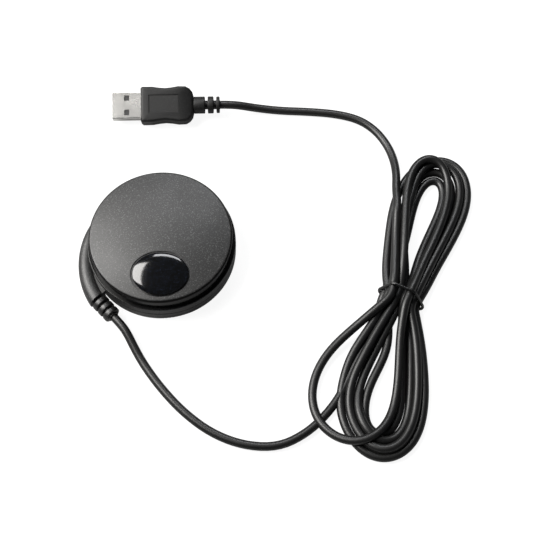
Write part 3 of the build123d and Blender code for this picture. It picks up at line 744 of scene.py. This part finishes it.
print("finishes:", len(finishes))

# %% Dress the CAD pieces in their finishes
for row in frame["record"]["subparts"]:
    piece = nodes[row["node"]]
    piece.data.materials.clear()
    piece.data.materials.append(finishes[row["material_slot"]])


# %% Dress the new pieces and hang them on their bodies
def dress(piece, slot_name, *replaced):
    """Gives a new piece its finish and its body, and hides the CAD nodes it stands for."""
    piece.data.materials.clear()
    piece.data.materials.append(finishes[slot_name])
    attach(piece, "receiver")
    if replaced:
        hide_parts(*replaced)


dress(cable, "cable_jacket", "puck_cord", "cord_hank", "plug_cord")
dress(puck_relief, "relief_rubber", "puck_strain_relief")
dress(plug_relief, "plug_rubber", "plug_strain_relief")
dress(overmould, "plug_rubber", "usb_overmould")
dress(tie, "tie_plastic", "twist_tie")
dress(badge_lens, "badge_gloss", "badge")

# %% [markdown]
# ## Surface and light
# The object lies on a plain pale surface. Black plastic shows its shape only by what it mirrors,
# so the lights are large and stand to the left and behind, and the space overhead stays dim.

# %% Lay the floor
FLOOR_DROP, FLOOR_HALF = 0.0001, 3.0     # just below the base, so the two don't flicker together
floor_mesh = bpy.data.meshes.new("floor")
bm = bmesh.new()
bmesh.ops.create_grid(bm, x_segments=1, y_segments=1, size=FLOOR_HALF)
bmesh.ops.translate(bm, vec=(0, 0, -FLOOR_DROP), verts=bm.verts)
bm.to_mesh(floor_mesh)
bm.free()
floor = bpy.data.objects.new("floor", floor_mesh)
bpy.context.scene.collection.objects.link(floor)
floor_paint = bpy.data.materials.new("floor_paint")
floor_paint.use_nodes = True
paint = floor_paint.node_tree
paint.nodes.remove(paint.nodes["Principled BSDF"])


def glowing(tree, glow, colour):
    """A matt paint that also gives off an even glow of its own."""
    matt = tree.nodes.new("ShaderNodeBsdfDiffuse")
    matt.inputs["Color"].default_value = (colour, colour, colour, 1.0)
    lamp = tree.nodes.new("ShaderNodeEmission")
    lamp.inputs["Strength"].default_value = glow
    both = tree.nodes.new("ShaderNodeAddShader")
    tree.links.new(matt.outputs["BSDF"], both.inputs[0])
    tree.links.new(lamp.outputs["Emission"], both.inputs[1])
    return both


seen = paint.nodes.new("ShaderNodeLightPath")
choice = paint.nodes.new("ShaderNodeMixShader")
paint.links.new(seen.outputs["Is Camera Ray"], choice.inputs[0])
paint.links.new(glowing(paint, glow=0.12, colour=0.28).outputs[0], choice.inputs[1])
paint.links.new(glowing(paint, glow=0.91, colour=0.16).outputs[0], choice.inputs[2])
below = paint.nodes.new("ShaderNodeNewGeometry")
clear = paint.nodes.new("ShaderNodeBsdfTransparent")
one_sided = paint.nodes.new("ShaderNodeMixShader")
paint.links.new(below.outputs["Backfacing"], one_sided.inputs[0])
paint.links.new(choice.outputs[0], one_sided.inputs[1])
paint.links.new(clear.outputs[0], one_sided.inputs[2])
paint.links.new(one_sided.outputs[0], paint.nodes["Material Output"].inputs["Surface"])
floor_mesh.materials.append(floor_paint)
print("floor laid")


# %% Set the lights
def softbox(name, place, size, power, colour):
    """A rectangular light that faces the middle of the object."""
    data = bpy.data.lights.new(name, "AREA")
    data.shape = "RECTANGLE"
    data.size, data.size_y = size
    data.energy = power
    data.color = colour
    lamp = bpy.data.objects.new(name, data)
    lamp.location = place
    lamp.rotation_euler = (AIM - Vector(place)).to_track_quat("-Z", "Y").to_euler()
    bpy.context.scene.collection.objects.link(lamp)


softbox("left_softbox", (-0.58, 0.15, 0.69), (0.6, 0.7), 22.0, (1.0, 0.985, 0.96))
softbox("back_softbox", (0.06, 0.64, 0.72), (0.5, 0.22), 4.6, (0.97, 0.98, 1.0))
world = bpy.data.worlds.new("studio")
world.use_nodes = True
sky = world.node_tree
backdrop = sky.nodes["Background"]
backdrop.inputs["Color"].default_value = (1.0, 1.0, 1.0, 1.0)
backdrop.inputs["Strength"].default_value = 1.0
dim = sky.nodes.new("ShaderNodeBackground")
dim.inputs["Color"].default_value = (0.92, 0.96, 1.0, 1.0)
dim.inputs["Strength"].default_value = 0.09
sight = sky.nodes.new("ShaderNodeLightPath")
either = sky.nodes.new("ShaderNodeMixShader")
sky.links.new(sight.outputs["Is Camera Ray"], either.inputs[0])
sky.links.new(dim.outputs[0], either.inputs[1])
sky.links.new(backdrop.outputs[0], either.inputs[2])
sky.links.new(either.outputs[0], sky.nodes["World Output"].inputs["Surface"])
bpy.context.scene.world = world
bpy.context.scene.view_settings.view_transform = "Standard"
print("lights set")
